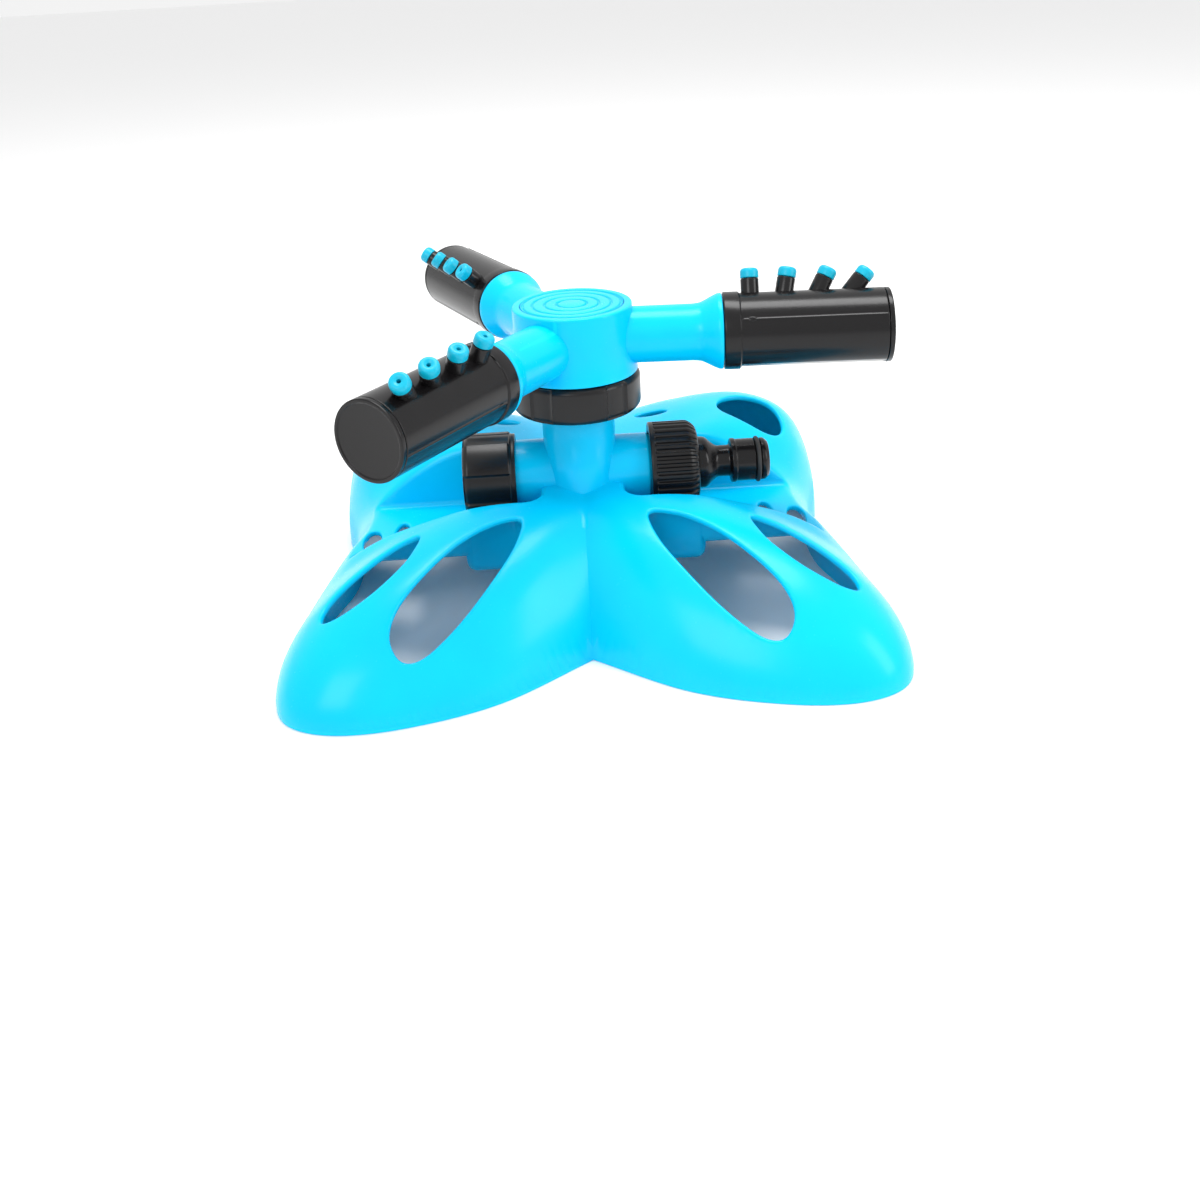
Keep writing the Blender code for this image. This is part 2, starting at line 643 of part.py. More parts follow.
def make_barrel(rotor, index):
    """Make one barrel with its four stems, its end cap, seal, clip and nozzles."""
    number = str(index + 1)
    twist = Matrix.Rotation(math.radians(-BARREL_TWIST[index]), 4, 'Z')
    axis = pivot("barrel_axis_" + number, arm_frame(index) @ twist, rotor)
    collar = BARREL_RADIUS + 0.6 * MM
    wide_bore = 12.1 * MM
    collar_end = BARREL_INNER + 6.0 * MM
    cap_seat = BARREL_OUTER - 1.8 * MM
    end = cap_seat - GAP
    beyond = BARREL_OUTER + 9.0 * MM
    before = BARREL_INNER - 9.0 * MM
    step = BARREL_INNER + 8.8 * MM
    barrel = turned("barrel_" + number, [
        (0.0, end), (BARREL_RADIUS, end), (BARREL_RADIUS, collar_end), (collar, collar_end),
        (collar, BARREL_INNER), (0.0, BARREL_INNER)], 24, BLACK)
    hang(barrel, axis)
    make_stems(barrel, axis, number)
    way = turned_cutter("barrel_bore_" + number, [
        (0.0, beyond), (wide_bore, beyond), (wide_bore, step), (BARREL_BORE, step),
        (BARREL_BORE, before), (0.0, before)], 24)
    boolean(barrel, hang(way, axis, OFF_LINE), 'DIFFERENCE')
    for place in range(len(NOZZLE_PLACES)):
        tag = number + "_" + str(place + 1)
        hole = cylinder_cutter("stem_bore_" + tag, STEM_BORE, -6.0 * MM, 30.0 * MM, 10)
        boolean(barrel, hang(hole, axis, nozzle_matrix(place) @ OFF_LINE), 'DIFFERENCE')
        make_nozzle(axis, tag, place)
    plug = wide_bore - GAP
    cap = turned("barrel_cap_" + number, [
        (0.0, BARREL_OUTER), (BARREL_RADIUS - 0.7 * MM, BARREL_OUTER),
        (BARREL_RADIUS, BARREL_OUTER - 0.7 * MM), (BARREL_RADIUS, cap_seat),
        (plug, cap_seat), (plug, cap_seat - 4.0 * MM), (0.0, cap_seat - 4.0 * MM)], 24, BLACK)
    hang(cap, axis)
    seal = bead_ring("arm_o_ring_" + number, 10.35 * MM, 0.64 * MM)
    hang(seal, rotor, arm_frame(index) @ Matrix.Translation((0.0, 0.0, 62.1 * MM)))
    clip = split_ring("barrel_clip_" + number, 9.9 * MM, 11.7 * MM, 66.8 * MM, 1.2 * MM)
    hang(clip, rotor, arm_frame(index))


# ---- inlet side ---------------------------------------------------------------------
def nut_ribs(angle):
    """Return 1 in the grooves between the union nut's 36 ribs, else 0."""
    return 1.0 if math.floor(angle / (2.0 * math.pi) * 72.0 + 0.5) % 2 else 0.0


def along_pipe(body, side, shift=0.0):
    """Lay a piece made along +Z out along the pipe, to +X or to -X."""
    turn = Matrix.Rotation(math.radians(90.0 * side), 4, 'Y')
    slide = Matrix.Translation((0.0, 0.0, shift))
    body.matrix_basis = Matrix.Translation((0.0, 0.0, PIPE_HEIGHT)) @ turn @ slide
    return body


def make_inlet():
    """Make the ribbed union nut and the quick-connect nipple it holds on the pipe."""
    inner = THREAD_RADIUS + GAP
    web = NUT_END - 2.4 * MM
    eye = 10.5 * MM
    rib = 0.8 * MM
    nut = lofted("union_nut", [
        (eye, NUT_END, 0.0), (NUT_RADIUS - 2.6 * MM, NUT_END, 0.0),
        (NUT_RADIUS, NUT_END - 3.4 * MM, rib), (NUT_RADIUS, NUT_START + 2.2 * MM, rib),
        (NUT_RADIUS, NUT_START + 1.9 * MM, 0.0), (NUT_RADIUS, NUT_START, 0.0),
        (inner, NUT_START, 0.0), (inner, web, 0.0), (eye, web, 0.0)], 72, nut_ribs, BLACK)
    along_pipe(nut, 1)
    bore = 5.0 * MM
    flange = 12.9 * MM
    flange_end = web - GAP
    flange_start = flange_end - 2.6 * MM
    cone = eye - GAP
    neck = 6.2 * MM
    stop = NIPPLE_RADIUS + 0.2 * MM
    barb = NIPPLE_RADIUS - 0.2 * MM
    groove = NIPPLE_RADIUS - 1.5 * MM
    nipple = turned("inlet_nipple", [
        (bore, NIPPLE_END), (barb - 1.4 * MM, NIPPLE_END), (barb, NIPPLE_END - 1.6 * MM),
        (barb, 71.4 * MM), (groove, 71.4 * MM), (groove, 68.8 * MM), (barb, 68.8 * MM),
        (barb, 61.2 * MM), (stop, 60.9 * MM), (stop, 59.6 * MM), (neck, 59.0 * MM),
        (neck, 54.0 * MM), (neck + 1.0 * MM, 52.6 * MM), (cone, 49.4 * MM),
        (cone, flange_end), (flange, flange_end), (flange, flange_start),
        (bore, flange_start)], 20, BLACK)
    along_pipe(nipple, 1)
    along_pipe(bead_ring("nipple_o_ring", 8.25 * MM, 0.85 * MM), 1, 70.1 * MM)
    low = PIPE_END + GAP
    high = flange_start - GAP
    along_pipe(flat_washer("inlet_washer", low, high), 1)


def flat_washer(name, low, high):
    """Make a rubber washer as wide as the pipe's end, between two heights."""
    rim = 12.9 * MM
    eye = 7.5 * MM
    return turned(name, [(rim, high), (rim, low), (eye, low), (eye, high)], 18, RUBBER)


# ---- end cap ------------------------------------------------------------------------
def cap_pads(angle):
    """Return 1 in the four recesses between the end cap's wide grip pads, else 0."""
    return 1.0 if (angle / (2.0 * math.pi) * 4.0) % 1.0 < 0.5 else 0.0


def make_end_cap():
    """Make the screw cap that closes the pipe's other end, and its washer."""
    inner = THREAD_RADIUS + GAP
    floor = PIPE_END + 2.6 * MM
    pad = 1.1 * MM
    neck = CAP_RADIUS - 1.0 * MM
    cap = lofted("end_cap", [
        (inner, floor, 0.0), (inner, CAP_START, 0.0), (neck, CAP_START, 0.0),
        (neck, CAP_START + 1.6 * MM, 0.0), (CAP_RADIUS, CAP_START + 2.2 * MM, pad),
        (CAP_RADIUS, CAP_END - 1.6 * MM, pad), (CAP_RADIUS - 1.6 * MM, CAP_END, 0.0)],
        40, cap_pads, BLACK, ends=True)
    along_pipe(cap, -1)
    along_pipe(flat_washer("cap_washer", PIPE_END + GAP, floor - GAP), -1)


make_base()
make_swivel()
ROTOR_AXIS = pivot("rotor_axis", Matrix.Translation((0.0, 0.0, ARM_HEIGHT))
                   @ Matrix.Rotation(math.radians(ROTOR_REST_ANGLE), 4, 'Z'))
make_hub(ROTOR_AXIS)
for arm in range(ARM_COUNT):
    make_barrel(ROTOR_AXIS, arm)
make_inlet()
make_end_cap()
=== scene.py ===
"""Looks of a three-arm rotating lawn sprinkler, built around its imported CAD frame."""

import math

import bmesh
import bpy
from mathutils import Matrix, Vector
from mathutils.geometry import delaunay_2d_cdt


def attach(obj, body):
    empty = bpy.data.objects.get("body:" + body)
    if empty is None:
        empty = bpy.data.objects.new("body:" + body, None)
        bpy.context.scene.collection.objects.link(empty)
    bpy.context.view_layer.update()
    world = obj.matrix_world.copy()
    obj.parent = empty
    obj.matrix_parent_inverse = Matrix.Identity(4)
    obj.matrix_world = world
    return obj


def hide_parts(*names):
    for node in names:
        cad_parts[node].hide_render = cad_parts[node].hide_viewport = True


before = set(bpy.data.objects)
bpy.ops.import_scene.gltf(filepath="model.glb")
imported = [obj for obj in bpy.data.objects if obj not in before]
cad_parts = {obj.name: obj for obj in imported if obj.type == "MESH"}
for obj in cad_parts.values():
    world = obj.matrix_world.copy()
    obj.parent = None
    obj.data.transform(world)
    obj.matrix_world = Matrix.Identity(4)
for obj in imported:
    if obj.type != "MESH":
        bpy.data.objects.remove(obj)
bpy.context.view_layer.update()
MM = 0.001

# ---- dimensions, in metres and degrees ---------------------------------------------
CREST_HEIGHT = 51.5 * MM
SHELL_WALL = 2.4 * MM
SKIRT_HEIGHT = 1.6 * MM
RISER_RADIUS = 14.2 * MM
RISER_TOP = 81.0 * MM
RISER_BORE = 10.5 * MM
WEB_REACH = 4.2 * MM                # how far the riser's foot comes forward
PIPE_HEIGHT = 52.0 * MM
THREAD_RADIUS = 13.2 * MM
THREAD_PITCH = 1.814 * MM
THREAD_TURNS = 4
PIPE_BORE = 9.6 * MM
PIPE_END = 38.0 * MM
ARM_HEIGHT = 107.2 * MM
BARREL_RADIUS = 14.2 * MM
STRIP_HEIGHT = 13.55 * MM           # from a barrel's axis to its flat nozzle strip
LINE_ANGLE = 80.0                   # from the middle of a barrel to its raised lines
LINE_RISE = 0.28 * MM
BARREL_TWIST = (23.0, 47.0, 25.0)
ROTOR_REST_ANGLE = -4.0
NOZZLE_PLACES = (68.0 * MM, 81.0 * MM, 94.0 * MM, 107.0 * MM)
NOZZLE_LEANS = (0.0, 11.0, 28.0, 40.0)
STEM_RADIUS = 3.5 * MM
STEM_BORE = 2.0 * MM
STEM_SINK = 2.4 * MM                # how far a stem reaches into its barrel
TIP_SEAT = 5.2 * MM
TIP_LENGTH = 3.8 * MM

WING_OUTLINE = (
    (0.0, -58.6, 2.3, 1.5, 0.0),
    (33.0, -84.0, 2.3, 1.4, 0.0),
    (66.0, -96.0, 2.4, 1.4, 0.0),
    (92.0, -97.5, 2.5, 1.5, 0.0),
    (109.0, -88.5, 2.6, 1.6, 0.0),
    (114.8, -69.0, 2.6, 1.7, 0.0),
    (111.5, -42.0, 2.4, 1.8, 0.0),
    (104.0, -14.0, 3.2, 1.9, 0.0),
    (98.0, 9.0, 3.2, 2.0, 0.0),
    (98.2, 32.5, 3.5, 2.0, 1.2),
    (105.0, 58.0, 6.0, 2.2, 4.5),
    (103.5, 82.0, 8.5, 2.2, 5.0),
    (87.0, 100.0, 8.5, 2.2, 5.0),
    (56.0, 104.0, 7.0, 2.2, 3.0),
    (26.0, 97.0, 6.0, 2.0, 1.5),
    (0.0, 92.0, 6.0, 2.0, 1.0),
)
LARGE_SLOT = ((24, -35.5), (26.5, -48), (35, -62), (46, -75), (58, -84.5), (66.5, -86.5),
              (70.5, -81), (67.5, -72), (58, -59.5), (46, -46.3), (34, -37.5))
EDGE_SLOT = ((62, -38.5), (64.5, -50), (70.5, -58.8), (79, -66), (89, -70.2), (96, -68.5),
             (96, -61), (89, -52.8), (79, -44.6), (70, -39.2))
LENS_SLOTS = ((73.0, -4.0, 2.9, 11.5), (84.5, -8.0, 3.4, 9.5))
REAR_HOLE = (75.5, 52.5, 14.5)
REAR_SLIT = (32.0, 52.0, 7.0, 3.0)
LIP = 0.9                           # how round the cut-outs' edges are, in millimetres
ROOT_FILLET = 5.0                   # blend between the shell and the riser, millimetres

# The wells that the pipe's ends lie in, in millimetres.
WELL_START = 16.4                   # how far from the riser's axis a well begins
WELL_HALF_WIDTH = 23.5
WELL_CORNER = 7.0
WELL_FLOOR = 30.0
DEEP_FLOOR = 23.5
WELL_BRIM = 2.4                     # radius at the top of its walls
WELL_FOOT = 2.5                     # radius at the bottom of its walls
WALL_RUN = 0.3                      # how far a wall leans in plan
STEP_X = 44.0                       # where the deep floor steps up
STEP_RADIUS = 1.2


# ---- materials ----------------------------------------------------------------------
def moulded(name, colour, roughness, coat=0.0, shine=0.5, grain=0.02, ripple=0.05, wear=0.0):
    """Return a moulded-plastic material: colour drift, fine grain and faint flow ripple."""
    made = bpy.data.materials.new(name)
    made.use_nodes = True
    nodes = made.node_tree.nodes
    links = made.node_tree.links
    shader = nodes["Principled BSDF"]
    shader.inputs["Coat Weight"].default_value = coat
    shader.inputs["Coat Roughness"].default_value = 0.12
    shader.inputs["Specular IOR Level"].default_value = shine
    shader.inputs["IOR"].default_value = 1.53
    place = nodes.new("ShaderNodeTexCoord")

    drift = nodes.new("ShaderNodeTexNoise")
    drift.inputs["Scale"].default_value = 38.0
    drift.inputs["Detail"].default_value = 3.0
    links.new(place.outputs["Object"], drift.inputs["Vector"])
    ramp = nodes.new("ShaderNodeValToRGB")
    ramp.color_ramp.elements[0].position = 0.3
    ramp.color_ramp.elements[0].color = (*[0.93 * c for c in colour], 1.0)
    ramp.color_ramp.elements[1].position = 0.7
    ramp.color_ramp.elements[1].color = (*colour, 1.0)
    links.new(drift.outputs["Fac"], ramp.inputs["Fac"])

    geometry = nodes.new("ShaderNodeNewGeometry")
    edge = nodes.new("ShaderNodeMapRange")
    edge.inputs["From Min"].default_value = 0.52
    edge.inputs["From Max"].default_value = 0.62
    edge.inputs["To Max"].default_value = wear
    links.new(geometry.outputs["Pointiness"], edge.inputs["Value"])
    worn = nodes.new("ShaderNodeMix")
    worn.data_type = 'RGBA'
    worn.inputs["B"].default_value = (*[min(1.0, 1.3 * c + 0.012) for c in colour], 1.0)
    links.new(edge.outputs["Result"], worn.inputs["Factor"])
    links.new(ramp.outputs["Color"], worn.inputs["A"])
    links.new(worn.outputs["Result"], shader.inputs["Base Color"])

    speck = nodes.new("ShaderNodeTexNoise")
    speck.inputs["Scale"].default_value = 900.0
    speck.inputs["Detail"].default_value = 4.0
    links.new(place.outputs["Object"], speck.inputs["Vector"])
    gloss = nodes.new("ShaderNodeMapRange")
    gloss.inputs["To Min"].default_value = roughness - 0.05
    gloss.inputs["To Max"].default_value = roughness + 0.07
    links.new(speck.outputs["Fac"], gloss.inputs["Value"])
    links.new(gloss.outputs["Result"], shader.inputs["Roughness"])

    flow = nodes.new("ShaderNodeTexNoise")
    flow.inputs["Scale"].default_value = 120.0
    flow.inputs["Detail"].default_value = 1.0
    links.new(place.outputs["Object"], flow.inputs["Vector"])
    wave = nodes.new("ShaderNodeBump")
    wave.inputs["Strength"].default_value = ripple
    wave.inputs["Distance"].default_value = 0.4 * MM
    links.new(flow.outputs["Fac"], wave.inputs["Height"])
    fine = nodes.new("ShaderNodeBump")
    fine.inputs["Strength"].default_value = grain
    fine.inputs["Distance"].default_value = 0.1 * MM
    links.new(speck.outputs["Fac"], fine.inputs["Height"])
    links.new(wave.outputs["Normal"], fine.inputs["Normal"])
    links.new(fine.outputs["Normal"], shader.inputs["Normal"])
    return made


BLUE = moulded("blue_gloss_plastic", (0.0, 0.54, 0.89), 0.24, coat=0.03, shine=0.14, wear=0.4)
BLACK = moulded("black_gloss_plastic", (0.006, 0.0055, 0.006), 0.22, coat=0.05, shine=0.25,
                grain=0.004, ripple=0.05, wear=0.15)
BLACK_GRIP = moulded("black_satin_plastic", (0.005, 0.0045, 0.005), 0.30, shine=0.3,
                     grain=0.01, wear=0.2)
TEAL = moulded("teal_nozzle_plastic", (0.0, 0.42, 0.60), 0.34, shine=0.3, wear=0.3)
RUBBER = moulded("seal_rubber", (0.02, 0.02, 0.02), 0.62, grain=0.12, ripple=0.02)
ACETAL = moulded("white_acetal", (0.80, 0.80, 0.78), 0.42)


# ---- mesh helpers -------------------------------------------------------------------
def add_piece(name, mesh_data, finish, body, cad_nodes, sharp=38.0):
    """Turn a bmesh into a piece with its finish, riding on its CAD body."""
    bmesh.ops.recalc_face_normals(mesh_data, faces=mesh_data.faces)
    mesh = bpy.data.meshes.new(name)
    mesh_data.to_mesh(mesh)
    mesh_data.free()
    mesh.materials.append(finish)
    mesh.shade_smooth()
    mesh.set_sharp_from_angle(angle=math.radians(sharp))
    piece = bpy.data.objects.new(name, mesh)
    bpy.context.scene.collection.objects.link(piece)
    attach(piece, body)
    if cad_nodes:
        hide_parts(*cad_nodes)
    return piece


def rounded(profile, closed=True, steps=4):
    """Round the corners of a profile of (radius, height, corner radius) rows."""
    count = len(profile)
    path = []
    for i, (radius, height, corner) in enumerate(profile):
        here = Vector((radius, height))
        if corner <= 0.0 or (not closed and i in (0, count - 1)):
            path.append(tuple(here))
            continue
        before = Vector(profile[i - 1][:2]) - here
        after = Vector(profile[(i + 1) % count][:2]) - here
        reach = min(corner, 0.48 * before.length, 0.48 * after.length)
        first = here + before.normalized() * reach
        last = here + after.normalized() * reach
        for s in range(steps + 1):
            t = s / steps
            path.append(tuple((1 - t) ** 2 * first + 2 * t * (1 - t) * here + t ** 2 * last))
    return path


def ring_skin(mesh_data, profile, count, closed=True, shape=None, matrix=None):
    """Turn a profile about Z into a skin; shape(angle, radius, height) can move a point."""
    rings = []
    for radius, height in profile:
        if radius < 1e-7:
            spot = Vector((0.0, 0.0, height))
            rings.append([mesh_data.verts.new(matrix @ spot if matrix else spot)])
            continue
        ring = []
        for i in range(count):
            angle = 2.0 * math.pi * i / count
            reach, rise = shape(angle, radius, height) if shape else (radius, height)
            spot = Vector((reach * math.cos(angle), reach * math.sin(angle), rise))
            ring.append(mesh_data.verts.new(matrix @ spot if matrix else spot))
        rings.append(ring)
    pairs = list(zip(rings, rings[1:]))
    if closed:
        pairs.append((rings[-1], rings[0]))
    for first, second in pairs:
        for i in range(count):
            j = (i + 1) % count
            corners = [first[i % len(first)], first[j % len(first)],
                       second[j % len(second)], second[i % len(second)]]
            unique = [v for k, v in enumerate(corners) if v not in corners[:k]]
            if len(unique) > 2:
                mesh_data.faces.new(unique)


def mm(rows):
    """Return profile rows given in millimetres in metres."""
    return [tuple(value * MM for value in row) for row in rows]


def ease(value, low, high):
    """Return a smooth step from 0 at low to 1 at high."""
    t = min(max((value - low) / (high - low), 0.0), 1.0)
    return t * t * (3.0 - 2.0 * t)


# ---- base ---------------------------------------------------------------------------
def catmull_rom(before, here, after, beyond, t):
    """Return the point at t on the smooth curve between here and after."""
    return 0.5 * (2.0 * here + (after - before) * t
                  + (2.0 * before - 5.0 * here + 4.0 * after - beyond) * t * t
                  + (3.0 * here - before - 3.0 * after + beyond) * t * t * t)


def outline_rows(steps):
    """Return the whole outline as rows of x, y, power, root, extra in millimetres."""
    rows = [Vector(row) for row in WING_OUTLINE]
    rows.insert(0, 2.0 * rows[0] - rows[1])
    rows.append(2.0 * rows[-1] - rows[-2])
    half = []
    for i in range(1, len(rows) - 2):
        for s in range(steps):
            half.append(catmull_rom(rows[i - 1], rows[i], rows[i + 1], rows[i + 2], s / steps))
    half.append(rows[-2])
    right = [tuple(p) for p in half]
    return right + [(-p[0], *p[1:]) for p in right[-2:0:-1]]


def smooth_loop(points, steps):
    """Return a closed smooth curve through plan points."""
    count = len(points)
    loop = []
    for i in range(count):
        before, here, after, beyond = (Vector(points[(i + k) % count]) for k in (-1, 0, 1, 2))
        loop += [tuple(catmull_rom(before, here, after, beyond, s / steps))
                 for s in range(steps)]
    return loop


def lens(x, y, half_width, half_length, count=28):
    """Return a pointed oval in plan."""
    half = [math.pi * s / count for s in range(count + 1)]
    right = [(x + half_width * math.sin(a), y - half_length * math.cos(a)) for a in half]
    left = [(x - half_width * math.sin(a), y - half_length * math.cos(a))
            for a in half[-2:0:-1]]
    return right + left


def circle(x, y, radius, count):
    """Return a circle in plan."""
    turns = [2.0 * math.pi * i / count for i in range(count)]
    return [(x + radius * math.cos(a), y + radius * math.sin(a)) for a in turns]


def even_loop(points, gap):
    """Return a closed loop's points again, about one gap apart."""
    marks = [0.0]
    for i, point in enumerate(points):
        after = points[(i + 1) % len(points)]
        marks.append(marks[-1] + math.dist(point, after))
    count = max(12, int(marks[-1] / gap))
    even = []
    k = 0
    for i in range(count):
        target = marks[-1] * i / count
        while marks[k + 1] < target:
            k += 1
        t = (target - marks[k]) / (marks[k + 1] - marks[k])
        a, b = points[k], points[(k + 1) % len(points)]
        even.append((a[0] + (b[0] - a[0]) * t, a[1] + (b[1] - a[1]) * t))
    return even


def grown(loop, distance):
    """Return a counter-clockwise plan loop moved outwards by a distance."""
    count = len(loop)
    out = []
    for i, (x, y) in enumerate(loop):
        (ax, ay), (bx, by) = loop[i - 1], loop[(i + 1) % count]
        length = math.hypot(bx - ax, by - ay) or 1.0
        out.append((x + (by - ay) / length * distance, y - (bx - ax) / length * distance))
    return out


def counter_clockwise(loop):
    """Return the loop in counter-clockwise order."""
    area = sum(a[0] * b[1] - b[0] * a[1] for a, b in zip(loop, loop[1:] + loop[:1]))
    return loop if area > 0.0 else loop[::-1]


def inside(loop, x, y):
    """Tell whether a plan point is inside a closed loop."""
    hit = False
    for (ax, ay), (bx, by) in zip(loop, loop[1:] + loop[:1]):
        if (ay > y) != (by > y) and x < (bx - ax) * (y - ay) / (by - ay) + ax:
            hit = not hit
    return hit


def shell_height(share, power, root, extra):
    """Return the skin's height in millimetres at a share of the way to the outline."""
    lift = extra * ease(share, 0.0, 0.6)
    full = (1.0 - min(share, 1.0) ** power) ** (1.0 / root)
    skirt = SKIRT_HEIGHT / MM
    return skirt + (CREST_HEIGHT / MM - skirt + lift) * full


def well_depth(x, y):
    """Return how far a plan point is inside a well's outline; negative outside."""
    across = WELL_START + WELL_CORNER - abs(x)
    along = abs(y) - (WELL_HALF_WIDTH - WELL_CORNER)
    outside = math.hypot(max(across, 0.0), max(along, 0.0))
    return WELL_CORNER - outside - min(max(across, along), 0.0)


def quarter(distance, radius):
    """Return how far a quarter round has turned away at a distance from its start."""
    t = min(max(distance, 0.0), radius)
    return radius - math.sqrt(radius * radius - t * t)


def well_floor(x):
    """Return the height of a well's floor, with its rounded step."""
    run = abs(x) - STEP_X
    low = DEEP_FLOOR + quarter(run + STEP_RADIUS, STEP_RADIUS)
    high = WELL_FLOOR - quarter(STEP_RADIUS + WALL_RUN - run, STEP_RADIUS)
    if run <= 0.0:
        return low
    if run >= WALL_RUN:
        return high
    return low + (high - low) * run / WALL_RUN


def soft_min(a, b, blend):
    """Return the lower of two heights, rounded where they cross."""
    t = min(max(0.5 + 0.5 * (b - a) / blend, 0.0), 1.0)
    return b + (a - b) * t - blend * t * (1.0 - t)


def with_well(x, y, dome):
    """Return the skin's height where the dome's height is cut down by the wells."""
    depth = well_depth(x, y)
    if depth <= -WELL_BRIM:
        return dome
    floor = well_floor(x)
    share = min(max((dome - floor) / (WELL_BRIM + WELL_FOOT), 0.0), 1.0)
    brim = dome - share * quarter(depth + WELL_BRIM, WELL_BRIM)
    if depth <= 0.0:
        return brim
    rise = quarter(WELL_FOOT + WALL_RUN - depth, WELL_FOOT)
    inner = soft_min(dome, floor + rise, 1.5)
    if depth >= WALL_RUN:
        return inner
    return brim + (inner - brim) * depth / WALL_RUN


def well_points():
    """Return plan points on rows that follow the wells' walls, rims and step."""
    step_runs = (-1.2, -0.8, -0.4, -0.15, 0.0, 0.3, 0.45, 0.7, 1.1, 1.5)
    stations = [STEP_X + run for run in step_runs]
    begin = WELL_START + WELL_CORNER
    stations += [begin + 1.2 * k for k in range(70) if abs(begin + 1.2 * k - STEP_X) > 2.0]
    brims = [-WELL_BRIM * (1.0 - math.sin(math.radians(a))) for a in (0, 15, 32, 50, 70, 90)]
    feet = [WALL_RUN + WELL_FOOT * (1.0 - math.cos(math.radians(a)))
            for a in (0, 20, 40, 60, 78, 90)]
    points = []
    for level in brims + feet:
        radius = WELL_CORNER - level
        half = WELL_HALF_WIDTH - level
        points += [(x, half) for x in stations] + [(x, -half) for x in stations]
        for side in (1.0, -1.0):
            for k in range(9):
                angle = math.radians(90.0 * (k + 0.5) / 9.0)
                points.append((begin - radius * math.cos(angle),
                               side * (WELL_HALF_WIDTH - WELL_CORNER + radius * math.sin(angle))))
        points += [(begin - radius, 1.2 * k) for k in range(-13, 14)]
    middle = WELL_HALF_WIDTH - WELL_FOOT - WALL_RUN - 0.9
    for x in stations:
        points += [(x, middle * k / 16.0) for k in range(-16, 17)]
    return points + [(-x, y) for x, y in points]


